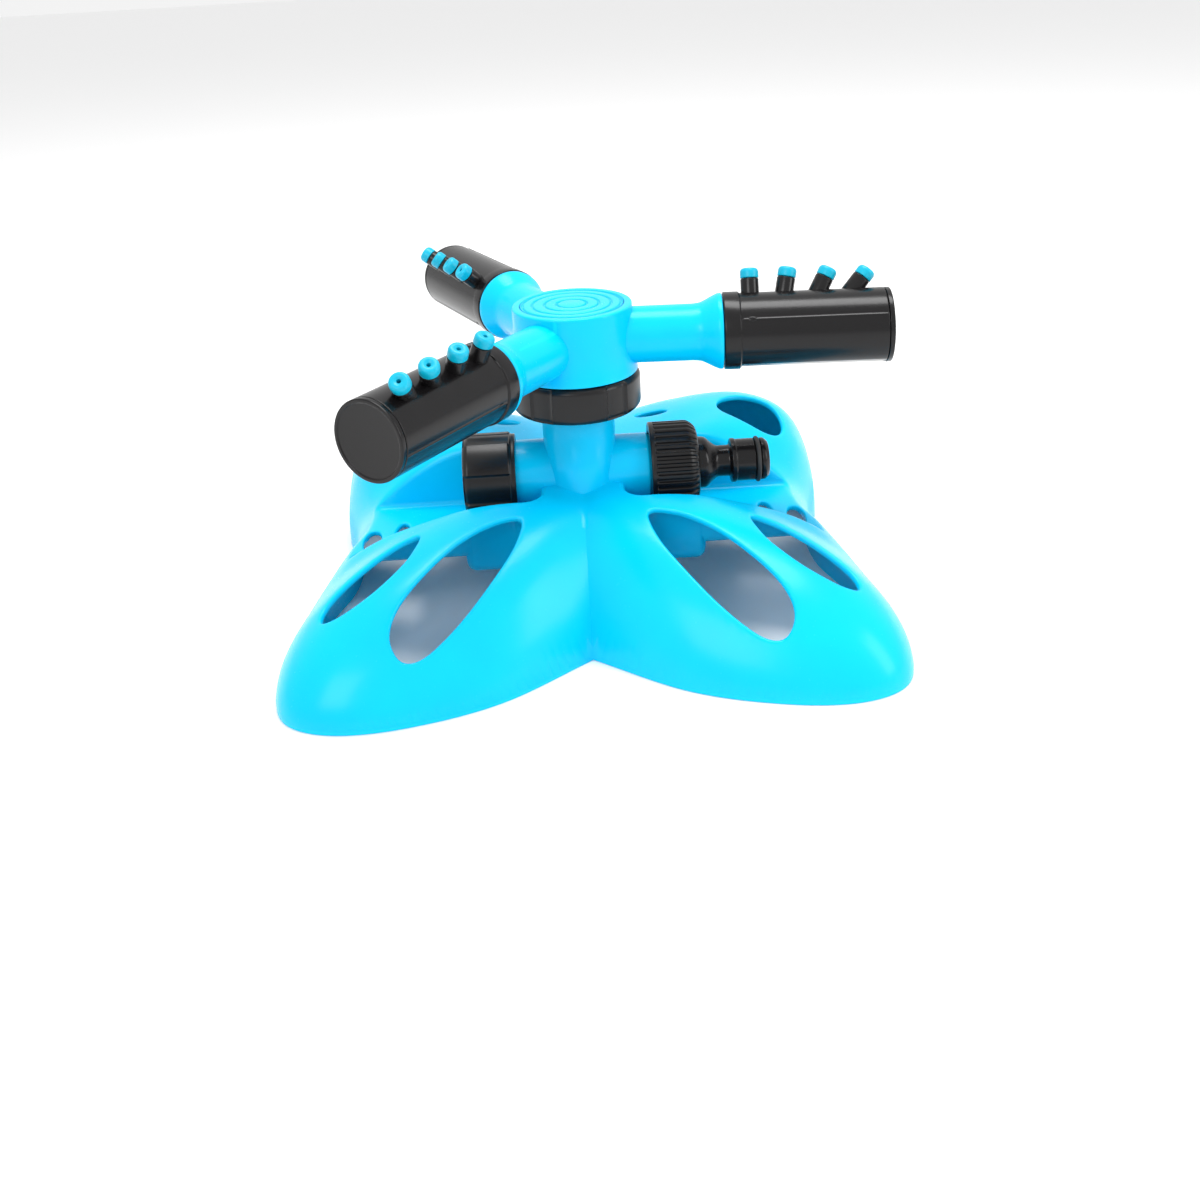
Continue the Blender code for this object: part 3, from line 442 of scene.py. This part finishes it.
def shell_skin():
    """Return plan points with heights, roundness drops and triangles of the outer skin."""
    rows = outline_rows(11)
    angles = [math.atan2(row[1], row[0]) for row in rows]

    def row_at(x, y):
        """Return the outline's row in the direction of a plan point."""
        angle = math.atan2(y, x)
        low, high = 0, len(rows) // 2
        if x < 0.0:
            mirrored = row_at(-x, y)
            return (-mirrored[0], *mirrored[1:])
        while high - low > 1:
            middle = (low + high) // 2
            if angles[middle] <= angle:
                low = middle
            else:
                high = middle
        (ax, ay), (bx, by) = rows[low][:2], rows[high][:2]
        cross_a = ax * math.sin(angle) - ay * math.cos(angle)
        cross_b = bx * math.sin(angle) - by * math.cos(angle)
        t = cross_a / (cross_a - cross_b) if cross_a != cross_b else 0.0
        t = min(max(t, 0.0), 1.0)
        return tuple(a + (b - a) * t for a, b in zip(rows[low], rows[high]))

    shapes = [smooth_loop(LARGE_SLOT, 12), smooth_loop(EDGE_SLOT, 12),
              circle(*REAR_HOLE, 72), lens(*REAR_SLIT)]
    shapes += [lens(*slot) for slot in LENS_SLOTS]
    holes = [counter_clockwise(even_loop(loop, 1.1)) for loop in shapes]
    holes += [counter_clockwise([(-x, y) for x, y in loop]) for loop in holes]
    root = RISER_RADIUS / MM - 0.2
    holes.append(circle(0.0, 0.0, root, 88))

    plan = []
    drops = []
    edges = []
    offsets = (0.0, 0.1, 0.32, 0.62, 1.0)
    for loop in holes[:-1]:
        for share in offsets:
            start = len(plan)
            ring = grown(loop, share * LIP)
            plan += ring
            drops += [LIP * (1.0 - math.sqrt(1.0 - (1.0 - share) ** 2))] * len(ring)
            edges += [(start + i, start + (i + 1) % len(ring)) for i in range(len(ring))]
    start = len(plan)
    plan += holes[-1]
    drops += [0.0] * len(holes[-1])
    edges += [(start + i, start + (i + 1) % len(holes[-1])) for i in range(len(holes[-1]))]
    for step in (0.35, 0.9, 1.6, 2.6, 3.8, 5.0):
        ring = [p for p in circle(0.0, 0.0, root + step, 88) if well_depth(*p) < -2.6]
        plan += ring
        drops += [0.0] * len(ring)
    rim_start = len(plan)
    rim = [(row[0], row[1]) for row in rows]
    plan += rim
    drops += [0.0] * len(rim)
    edges += [(rim_start + i, rim_start + (i + 1) % len(rim)) for i in range(len(rim))]

    margin = [grown(loop, LIP + 0.5) for loop in holes[:-1]]
    boxes = [(min(p[0] for p in m), max(p[0] for p in m), min(p[1] for p in m),
              max(p[1] for p in m)) for m in margin]

    def blocked(x, y, clearance):
        """Tell whether a plan point is in a cut-out, or too near its edge or the riser."""
        if math.hypot(x, y) < root + clearance:
            return True
        return any(b[0] <= x <= b[1] and b[2] <= y <= b[3] and inside(m, x, y)
                   for m, b in zip(margin, boxes))

    shares = [1.0 - (1.0 - k / 46.0) ** 1.9 for k in range(6, 46)]
    shares += [0.9995, 0.99985]
    for share in shares:
        skip = 1 if share > 0.45 else 2
        for i in range(0, len(rows), skip):
            x, y = rows[i][0] * share, rows[i][1] * share
            near_well = well_depth(x, y) > -WELL_BRIM - 0.4
            if not near_well and not blocked(x, y, 5.6):
                plan.append((x, y))
                drops.append(0.0)
    for x, y in well_points():
        row = row_at(x, y)
        share = math.hypot(x, y) / math.hypot(row[0], row[1])
        if share < 0.9 and not blocked(x, y, 0.3):
            plan.append((x, y))
            drops.append(0.0)
    for share in [0.9 + 0.1 * (1.0 - (1.0 - k / 12.0) ** 2.2) for k in range(12)]:
        for row in rows:
            x, y = row[0] * share, row[1] * share
            if well_depth(x, y) > -WELL_BRIM - 0.4 and not blocked(x, y, 5.6):
                plan.append((x, y))
                drops.append(0.0)

    result = delaunay_2d_cdt([Vector(p) for p in plan], edges, [], 0, 1e-5)
    verts, faces, origin = result[0], result[2], result[3]
    heights = []
    depth = []
    for v, sources in zip(verts, origin):
        row = row_at(v.x, v.y)
        share = min(math.hypot(v.x, v.y) / math.hypot(row[0], row[1]), 1.0)
        if any(s >= rim_start and s < rim_start + len(rim) for s in sources):
            share = 1.0
        height = shell_height(share, row[2], row[3], row[4])
        reach = max(math.hypot(v.x, v.y) - root, 0.0)
        if reach < ROOT_FILLET:
            height += ROOT_FILLET - math.sqrt(ROOT_FILLET ** 2 - (ROOT_FILLET - reach) ** 2)
        heights.append(with_well(v.x, v.y, height) if share < 1.0 else height)
        depth.append(drops[sources[0]] if sources else 0.0)
    hole_boxes = [(min(p[0] for p in m), max(p[0] for p in m), min(p[1] for p in m),
                   max(p[1] for p in m)) for m in holes]
    kept = []
    for face in faces:
        x = sum(verts[i].x for i in face) / len(face)
        y = sum(verts[i].y for i in face) / len(face)
        if any(b[0] <= x <= b[1] and b[2] <= y <= b[3] and inside(m, x, y)
               for m, b in zip(holes, hole_boxes)):
            continue
        if inside(rim, x, y):
            kept.append(face)
    return verts, heights, depth, kept


def shell_mesh(mesh_data):
    """Add the butterfly shell: both skins, rounded cut-out lips and the standing rim."""
    verts, heights, depth, faces = shell_skin()
    outer = [mesh_data.verts.new((v.x * MM, v.y * MM, h * MM)) for v, h in zip(verts, heights)]
    skin = [mesh_data.faces.new([outer[i] for i in face]) for face in faces]
    for face in skin:
        face.normal_update()
        if face.normal.z < 0.0:
            face.normal_flip()
    normals = [Vector() for _ in outer]
    index = {v: i for i, v in enumerate(outer)}
    for face in skin:
        for v in face.verts:
            normals[index[v]] += face.normal * face.calc_area()
    used = set()
    for face in faces:
        used.update(face)
    inner = [None] * len(outer)
    for i in used:
        normal = normals[i].normalized()
        inner[i] = mesh_data.verts.new(outer[i].co - normal * (SHELL_WALL - depth[i] * MM))
        inner[i].co.z = max(inner[i].co.z, 0.0)
        outer[i].co -= normal * depth[i] * MM
    for face in faces:
        mesh_data.faces.new([inner[i] for i in reversed(face)])
    borders = [e for e in mesh_data.edges if len(e.link_faces) == 1
               and e.verts[0] in index and e.verts[1] in index]
    skirt = {}

    def foot(i):
        """Return the vertex on the ground below an outer rim vertex, or an inner one."""
        if i not in skirt:
            low = outer[i].co.copy()
            low.z = 0.0
            normal = normals[i].copy()
            normal.z = 0.0
            under = low - normal.normalized() * SHELL_WALL
            skirt[i] = (mesh_data.verts.new(low), mesh_data.verts.new(under))
            inner[i].co.x, inner[i].co.y = under.x, under.y
            inner[i].co.z = max(inner[i].co.z, 0.6 * MM)
        return skirt[i]

    for edge in borders:
        a, b = index[edge.verts[0]], index[edge.verts[1]]
        on_rim = all(heights[k] < SKIRT_HEIGHT / MM + 1e-4 for k in (a, b))
        if not on_rim:
            mesh_data.faces.new((outer[a], outer[b], inner[b], inner[a]))
            continue
        (low_a, under_a), (low_b, under_b) = foot(a), foot(b)
        mesh_data.faces.new((outer[a], outer[b], low_b, low_a))
        mesh_data.faces.new((low_a, low_b, under_b, under_a))
        mesh_data.faces.new((under_a, under_b, inner[b], inner[a]))
    loose = [v for v in mesh_data.verts if not v.link_faces]
    bmesh.ops.delete(mesh_data, geom=loose, context='VERTS')


def pipe_profile():
    """Return half of the cross pipe's outside, from its end to its middle."""
    root = THREAD_RADIUS - 1.1 * MM
    rows = [(PIPE_BORE, PIPE_END, 0.4 * MM), (root - 0.3 * MM, PIPE_END, 0.4 * MM),
            (root, PIPE_END - 0.8 * MM, 0.2 * MM)]
    for turn in range(THREAD_TURNS):
        top = PIPE_END - 1.0 * MM - turn * THREAD_PITCH
        rows.append((root, top, 0.15 * MM))
        rows.append((THREAD_RADIUS, top - 0.4 * THREAD_PITCH, 0.12 * MM))
        rows.append((THREAD_RADIUS, top - 0.6 * THREAD_PITCH, 0.12 * MM))
    rows.append((root, PIPE_END - 1.0 * MM - THREAD_TURNS * THREAD_PITCH, 0.3 * MM))
    rows.append((root, 27.4 * MM, 0.4 * MM))
    rows.append((THREAD_RADIUS, 26.5 * MM, 0.4 * MM))
    return rows


def make_base():
    """Build the one-piece base moulding."""
    mesh_data = bmesh.new()
    shell_mesh(mesh_data)
    foot = DEEP_FLOOR * MM - 1.0 * MM
    rows = [(RISER_BORE, RISER_TOP, 0.4 * MM), (RISER_RADIUS, RISER_TOP, 0.7 * MM)]
    rows += [(RISER_RADIUS, level * MM, 0.0) for level in (72, 70, 68, 66, 64, 62, 60, 58)]
    rows += [(RISER_RADIUS, foot, 1.0 * MM), (0.0, foot, 0.0), (0.0, PIPE_HEIGHT, 0.0),
             (RISER_BORE, PIPE_HEIGHT, 0.3 * MM)]

    def web(angle, radius, height):
        """Bring the riser's foot forward over the pipe, towards the front ridge."""
        front = max(-math.sin(angle), 0.0) ** 2
        low = 1.0 - ease(height, 57.0 * MM, 73.0 * MM)
        outside = ease(radius, RISER_BORE + 0.5 * MM, RISER_RADIUS - 0.1 * MM)
        return radius + WEB_REACH * front * low * outside, height

    ring_skin(mesh_data, rounded(rows), 112, shape=web)
    half = pipe_profile()
    profile = half + [(r, -h, c) for r, h, c in reversed(half)]
    lay = Matrix.Translation((0.0, 0.0, PIPE_HEIGHT)) @ Matrix.Rotation(math.pi / 2, 4, 'Y')
    ring_skin(mesh_data, rounded(profile, steps=2), 96, matrix=lay)
    return add_piece("base_moulding", mesh_data, BLUE, "base", ["base_body"],
                     sharp=45.0)


# ---- swivel collar ------------------------------------------------------------------
def make_collar():
    """Build the black screw-in collar with its five wide finger pads."""
    def pads(angle, radius, height):
        """Sink the skin between the pads."""
        share = (angle / (2.0 * math.pi) * 5.0) % 1.0
        sunk = ease(share, 0.0, 0.03) * (1.0 - ease(share, 0.29, 0.32))
        side = ease(radius, 23.5 * MM, 24.4 * MM)
        band = ease(height, 79.4 * MM, 80.8 * MM)
        return radius - 1.0 * MM * sunk * side * band, height

    profile = rounded(mm([
        (6.0, 105.0, 0.3), (9.7, 105.0, 0.5), (9.7, 93.8, 0.3), (23.3, 93.8, 0.8),
        (25.0, 92.2, 0.9), (25.0, 81.0, 1.2), (23.6, 79.5, 0.9), (21.6, 79.5, 0.3),
        (21.6, 89.5, 0.3), (14.9, 89.5, 0.3), (14.9, 83.0, 0.3), (10.2, 83.0, 0.2),
        (10.2, 69.0, 0.4), (6.0, 69.0, 0.3)]))
    mesh_data = bmesh.new()
    ring_skin(mesh_data, profile, 200, shape=pads)
    turn = Matrix.Rotation(math.radians(8.0), 4, 'Z')
    bmesh.ops.transform(mesh_data, matrix=turn, verts=mesh_data.verts)
    add_piece("swivel_ring", mesh_data, BLACK_GRIP, "base",
              ["swivel_collar"])


# ---- rotor --------------------------------------------------------------------------
def arm_matrix(index):
    """Return the matrix that lays +Z out along one arm at rest."""
    angle = math.radians(ROTOR_REST_ANGLE + 120.0 * index)
    return (Matrix.Translation((0.0, 0.0, ARM_HEIGHT)) @ Matrix.Rotation(angle, 4, 'Z')
            @ Matrix.Rotation(math.pi / 2, 4, 'Y'))


def helper(name, mesh_data):
    """Make a hidden object that a modifier uses, and return it."""
    bmesh.ops.recalc_face_normals(mesh_data, faces=mesh_data.faces)
    mesh = bpy.data.meshes.new(name)
    mesh_data.to_mesh(mesh)
    mesh_data.free()
    made = bpy.data.objects.new(name, mesh)
    bpy.context.scene.collection.objects.link(made)
    return made


def combine(target, other, operation):
    """Apply an exact Boolean to a mesh object and remove the other object."""
    step = target.modifiers.new("join", 'BOOLEAN')
    step.operation = operation
    step.solver = 'EXACT'
    step.object = other
    graph = bpy.context.evaluated_depsgraph_get()
    mesh = bpy.data.meshes.new_from_object(target.evaluated_get(graph))
    target.modifiers.clear()
    target.data = mesh
    bpy.data.objects.remove(other)


def make_hub():
    """Build the blue hub with its three flared arms."""
    hub_data = bmesh.new()
    ring_skin(hub_data, rounded(mm([
        (0.0, 117.9, 0.0), (20.0, 117.9, 0.15), (20.0, 120.5, 0.25), (23.0, 120.5, 0.9),
        (23.0, 103.0, 2.0), (23.5, 98.5, 2.0), (24.4, 94.2, 0.5), (19.0, 94.2, 0.3),
        (19.0, 95.4, 0.3), (10.0, 95.4, 0.3), (10.0, 101.5, 0.3), (17.0, 101.5, 0.6),
        (17.0, 116.6, 0.6), (0.0, 116.6, 0.0)]), closed=False), 144)
    hub = helper("hub_form", hub_data)
    for index in range(3):
        arm_data = bmesh.new()
        ring_skin(arm_data, rounded(mm([
            (0.0, 70.0, 0.0), (10.9, 70.0, 0.4), (10.9, 56.9, 0.2), (14.5, 56.9, 0.5),
            (14.5, 55.4, 0.5), (13.6, 53.4, 1.0), (11.2, 48.8, 2.0), (10.9, 46.0, 1.5),
            (10.9, 19.0, 0.0), (0.0, 19.0, 0.0)]), closed=False), 96,
            matrix=arm_matrix(index))
        combine(hub, helper("arm_form", arm_data), 'UNION')
    mesh_data = bmesh.new()
    mesh_data.from_mesh(hub.data)
    bpy.data.objects.remove(hub)
    piece = add_piece("rotor_body", mesh_data, BLUE, "rotor", ["rotor_hub"],
                      sharp=32.0)
    soft = piece.modifiers.new("soft_edges", 'BEVEL')
    soft.width = 0.5 * MM
    soft.segments = 3
    soft.limit_method = 'ANGLE'
    soft.angle_limit = math.radians(50.0)
    soft.harden_normals = False


def make_disc():
    """Build the grooved disc in the hub's top."""
    rows = [(0.0, 120.5, 0.0)]
    for ring in (5.1, 9.8, 14.5, 18.3):
        rows += [(ring, 120.5, 0.25), (ring + 0.35, 119.8, 0.2), (ring + 0.85, 119.8, 0.2),
                 (ring + 1.2, 120.5, 0.25)]
    rows += [(19.7, 120.5, 0.3), (19.7, 118.2, 0.2), (0.0, 118.2, 0.0)]
    mesh_data = bmesh.new()
    ring_skin(mesh_data, rounded(mm(rows), closed=False, steps=3), 128)
    add_piece("hub_disc", mesh_data, BLUE, "rotor", ["hub_cap"])


# ---- barrels ------------------------------------------------------------------------
def barrel_shape(angle, radius, height):
    """Flatten the nozzle strip and raise the thin line along the barrel's side."""
    along = ease(height, 63.6 * MM, 64.2 * MM) * (1.0 - ease(height, 117.2 * MM, 118.0 * MM))
    if radius < 13.9 * MM or along <= 0.0:
        return radius, height
    turn = abs(angle % (2.0 * math.pi) - math.pi)
    flat = STRIP_HEIGHT / max(math.cos(turn), 0.1)
    reach = radius + (min(radius, flat) - radius) * along
    line = abs(abs((angle + math.pi) % (2.0 * math.pi) - math.pi) - math.radians(LINE_ANGLE))
    if line < math.radians(1.3):
        reach += LINE_RISE * along
    return reach, height


BARREL_STOPS = (117.6, 117.2, 110.0, 95.0, 80.0, 66.0, 64.4, 63.9)     # extra rows, mm


def make_barrel(index):
    """Build one barrel with its stems, end disc and nozzle tips."""
    number = str(index + 1)
    body = "barrel_" + number + "_body"
    twist = Matrix.Rotation(math.radians(-BARREL_TWIST[index]), 4, 'Z')
    axis = arm_matrix(index) @ twist
    mesh_data = bmesh.new()
    profile = rounded(mm([
        (12.1, 117.9, 0.1), (14.2, 117.9, 0.35), (14.2, 63.5, 0.15), (14.8, 63.2, 0.25),
        (14.8, 57.2, 0.6), (11.3, 57.2, 0.3), (11.3, 66.0, 0.2), (12.1, 66.0, 0.2)]))
    dense = []
    for (radius, height), (_, after) in zip(profile, profile[1:] + profile[:1]):
        dense.append((radius, height))
        if abs(height - after) > 20.0 * MM and radius > 13.0 * MM:
            dense += [(radius, stop * MM) for stop in BARREL_STOPS
                      if min(height, after) < stop * MM < max(height, after)]
    ring_skin(mesh_data, dense, 180, shape=barrel_shape,
              matrix=axis @ Matrix.Rotation(math.pi, 4, 'Z'))
    for place, lean_degrees in enumerate(NOZZLE_LEANS):
        lean = math.radians(lean_degrees)
        foot = Matrix.Translation((-BARREL_RADIUS, 0.0, NOZZLE_PLACES[place]))
        spot = axis @ foot @ Matrix.Rotation(lean - math.pi / 2, 4, 'Y')
        ring_skin(mesh_data, rounded([
            (STEM_BORE, TIP_SEAT, 0.2 * MM), (STEM_RADIUS, TIP_SEAT, 0.3 * MM),
            (STEM_RADIUS, -STEM_SINK, 0.0), (STEM_BORE, -STEM_SINK, 0.0)]), 40, matrix=spot)
        make_tip(number + "_" + str(place + 1), body, spot, TIP_SEAT + 0.3 * MM)
    for side in (1.0, -1.0):
        turned = axis @ Matrix.Rotation(math.radians(180.0 + LINE_ANGLE * side), 4, 'Z')
        spot = turned @ Matrix.Translation((14.1 * MM, 0.0, 67.6 * MM))
        bmesh.ops.create_uvsphere(mesh_data, u_segments=24, v_segments=12, radius=1.0 * MM,
                                  matrix=spot @ Matrix.Diagonal((0.45, 1.0, 1.9, 1.0)))
    add_piece("barrel_skin_" + number, mesh_data, BLACK, body,
              ["barrel_" + number])
    make_end_disc(number, body, axis)


def make_tip(tag, body, spot, low):
    """Build one teal nozzle tip with its jet hole."""
    high = low + TIP_LENGTH
    mesh_data = bmesh.new()
    ring_skin(mesh_data, rounded([
        (0.75 * MM, high - 0.5 * MM, 0.1 * MM), (1.7 * MM, high, 0.3 * MM),
        (2.9 * MM, high, 0.8 * MM), (3.55 * MM, high - 1.0 * MM, 0.9 * MM),
        (3.55 * MM, low, 0.35 * MM), (1.7 * MM, low, 0.1 * MM), (1.7 * MM, -2.0 * MM, 0.2 * MM),
        (0.8 * MM, -2.0 * MM, 0.1 * MM)]), 48, matrix=spot)
    add_piece("tip_" + tag, mesh_data, TEAL, body, ["nozzle_" + tag])


def make_end_disc(number, body, axis):
    """Build the flat disc that closes a barrel's outer end."""
    mesh_data = bmesh.new()
    ring_skin(mesh_data, rounded(mm([
        (0.0, 119.6, 0.0), (12.6, 119.6, 0.15), (12.9, 120.0, 0.2), (14.2, 120.0, 0.5),
        (14.2, 118.2, 0.2), (11.8, 118.2, 0.2), (11.8, 114.2, 0.3), (0.0, 114.2, 0.0)]),
        closed=False), 128, matrix=axis)
    add_piece("end_disc_" + number, mesh_data, BLACK, body,
              ["barrel_cap_" + number])


# ---- inlet and end cap --------------------------------------------------------------
def pipe_matrix(side):
    """Return the matrix that lays +Z out along the pipe, to +X or to -X."""
    return (Matrix.Translation((0.0, 0.0, PIPE_HEIGHT))
            @ Matrix.Rotation(side * math.pi / 2, 4, 'Y'))


def make_nut():
    """Build the union nut with its 36 rounded ribs."""
    def ribs(angle, radius, height):
        """Sink the skin between the ribs, outside the plain band by the pipe."""
        side = ease(radius, 14.6 * MM, 16.2 * MM) * ease(height, 28.9 * MM, 29.7 * MM)
        wave = 0.5 - 0.5 * math.cos(36.0 * angle)
        return radius - 0.95 * MM * side * (1.0 - ease(wave, 0.15, 0.75)), height

    profile = rounded(mm([
        (10.5, 46.2, 0.3), (13.9, 46.2, 0.8), (15.6, 45.0, 1.0), (17.2, 42.6, 1.0),
        (17.2, 29.7, 0.2), (17.2, 28.9, 0.2), (17.2, 27.3, 0.5), (13.5, 27.3, 0.4),
        (13.5, 43.8, 0.3), (10.5, 43.8, 0.3)]), steps=3)
    mesh_data = bmesh.new()
    ring_skin(mesh_data, profile, 432, shape=ribs, matrix=pipe_matrix(1))
    add_piece("ribbed_nut", mesh_data, BLACK_GRIP, "nut", ["union_nut"])


def make_nipple():
    """Build the quick-connect nipple and its O-ring."""
    profile = rounded(mm([
        (5.0, 74.4, 0.5), (7.0, 74.4, 0.5), (8.4, 72.8, 0.8), (8.4, 71.4, 0.3),
        (7.1, 71.4, 0.2), (7.1, 68.8, 0.2), (8.4, 68.8, 0.3), (8.4, 61.6, 0.4),
        (8.8, 61.2, 0.3), (8.8, 59.6, 0.4), (6.2, 59.0, 0.8), (6.2, 54.0, 1.4),
        (7.4, 52.4, 1.2), (10.2, 49.4, 1.4), (10.2, 43.5, 0.2), (12.9, 43.5, 0.3),
        (12.9, 40.9, 0.3), (5.0, 40.9, 0.3)]))
    mesh_data = bmesh.new()
    ring_skin(mesh_data, profile, 112, matrix=pipe_matrix(1))
    add_piece("hose_nipple", mesh_data, BLACK, "inlet", ["inlet_nipple"])
    mesh_data = bmesh.new()
    bead = [(8.25 * MM + 0.85 * MM * math.cos(a), 70.1 * MM + 0.85 * MM * math.sin(a))
            for a in [2.0 * math.pi * i / 20 for i in range(20)]]
    ring_skin(mesh_data, bead, 96, matrix=pipe_matrix(1))
    add_piece("nipple_seal", mesh_data, RUBBER, "inlet", ["nipple_o_ring"])


def make_end_cap():
    """Build the end cap with its wide grip pads."""
    def pads(angle, radius, height):
        """Sink the skin between the cap's pads."""
        share = (angle / (2.0 * math.pi) * 4.0 + 0.25) % 1.0
        sunk = ease(share, 0.0, 0.03) * (1.0 - ease(share, 0.47, 0.5))
        side = ease(radius, 15.0 * MM, 16.0 * MM) * ease(height, 27.4 * MM, 28.2 * MM)
        return radius - 1.0 * MM * sunk * side, height

    profile = rounded(mm([
        (0.0, 46.2, 0.0), (15.2, 46.2, 0.8), (16.8, 44.8, 1.0), (16.8, 28.0, 0.6),
        (15.9, 27.2, 0.4), (15.9, 25.6, 0.4), (13.5, 25.6, 0.4), (13.5, 40.6, 0.3),
        (0.0, 40.6, 0.0)]), closed=False)
    mesh_data = bmesh.new()
    ring_skin(mesh_data, profile, 192, shape=pads, matrix=pipe_matrix(-1))
    add_piece("screw_cap", mesh_data, BLACK_GRIP, "cap", ["end_cap"])


def finish_hidden_nodes():
    """Give the seals, washers and clips that stay as CAD their own finish."""
    for name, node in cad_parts.items():
        if "clip" in name or name == "slip_washer":
            chosen = ACETAL
        else:
            chosen = RUBBER
        if not node.hide_render:
            node.data.materials.clear()
            node.data.materials.append(chosen)


# ---- floor, light and camera --------------------------------------------------------
def make_floor():
    """Lay a plain pale floor."""
    mesh_data = bmesh.new()
    bmesh.ops.create_grid(mesh_data, x_segments=1, y_segments=1, size=6.0)
    mesh = bpy.data.meshes.new("floor")
    mesh_data.to_mesh(mesh)
    mesh_data.free()
    floor = bpy.data.objects.new("floor", mesh)
    floor.location.z = -0.2 * MM
    pale = bpy.data.materials.new("pale_floor")
    pale.use_nodes = True
    shader = pale.node_tree.nodes["Principled BSDF"]
    shader.inputs["Base Color"].default_value = (0.93, 0.93, 0.93, 1.0)
    shader.inputs["Roughness"].default_value = 0.6
    shader.inputs["Specular IOR Level"].default_value = 0.2
    mesh.materials.append(pale)
    bpy.context.scene.collection.objects.link(floor)


def area_light(name, place, aim, size, power):
    """Add a soft rectangular light that looks at a point."""
    lamp = bpy.data.lights.new(name, 'AREA')
    lamp.shape = 'RECTANGLE'
    lamp.size, lamp.size_y = size
    lamp.energy = power
    light = bpy.data.objects.new(name, lamp)
    light.location = place
    look = (Vector(aim) - Vector(place)).normalized()
    light.rotation_euler = look.to_track_quat('-Z', 'Y').to_euler()
    bpy.context.scene.collection.objects.link(light)


def make_lights():
    """Light the object softly from all round, brightest from above."""
    bpy.context.scene.view_settings.view_transform = 'Standard'
    world = bpy.data.worlds.new("studio")
    world.use_nodes = True
    sky = world.node_tree.nodes["Background"]
    sky.inputs["Color"].default_value = (1.0, 1.0, 1.0, 1.0)
    sky.inputs["Strength"].default_value = 0.9
    bpy.context.scene.world = world
    middle = (0.0, 0.0, 0.06)
    area_light("top_box", (0.1, 0.2, 1.3), middle, (0.9, 0.5), 13.0)
    area_light("front_box", (-0.7, -1.2, 0.9), middle, (0.7, 0.7), 7.0)
    area_light("right_box", (1.2, -0.5, 0.6), middle, (0.4, 0.8), 5.0)


def make_camera():
    """Put the camera at the viewing angle, with its slight roll and shift."""
    azimuth = math.radians(0.52)
    elevation = math.radians(19.79)
    roll = math.radians(-3.31)
    distance = 0.51816
    ahead = Vector((math.sin(azimuth) * math.cos(elevation),
                    math.cos(azimuth) * math.cos(elevation), -math.sin(elevation)))
    right = Vector((math.cos(azimuth), -math.sin(azimuth), 0.0))
    up = right.cross(ahead)
    across = math.cos(roll) * right + math.sin(roll) * up
    above = math.cos(roll) * up - math.sin(roll) * right
    data = bpy.data.cameras.new("camera")
    data.sensor_width = 36.0
    data.lens = 39.75
    data.shift_x = 0.0189
    data.shift_y = -0.164
    data.clip_start = 0.01
    camera = bpy.data.objects.new("camera", data)
    place = Vector((0.0, 0.0, 0.080)) - ahead * distance
    turn = Matrix((across, above, -ahead)).transposed().to_4x4()
    camera.matrix_world = Matrix.Translation(place) @ turn
    bpy.context.scene.collection.objects.link(camera)
    bpy.context.scene.camera = camera


make_base()
make_collar()
make_hub()
make_disc()
for arm in range(3):
    make_barrel(arm)
make_nut()
make_nipple()
make_end_cap()
finish_hidden_nodes()
make_floor()
make_lights()
make_camera()
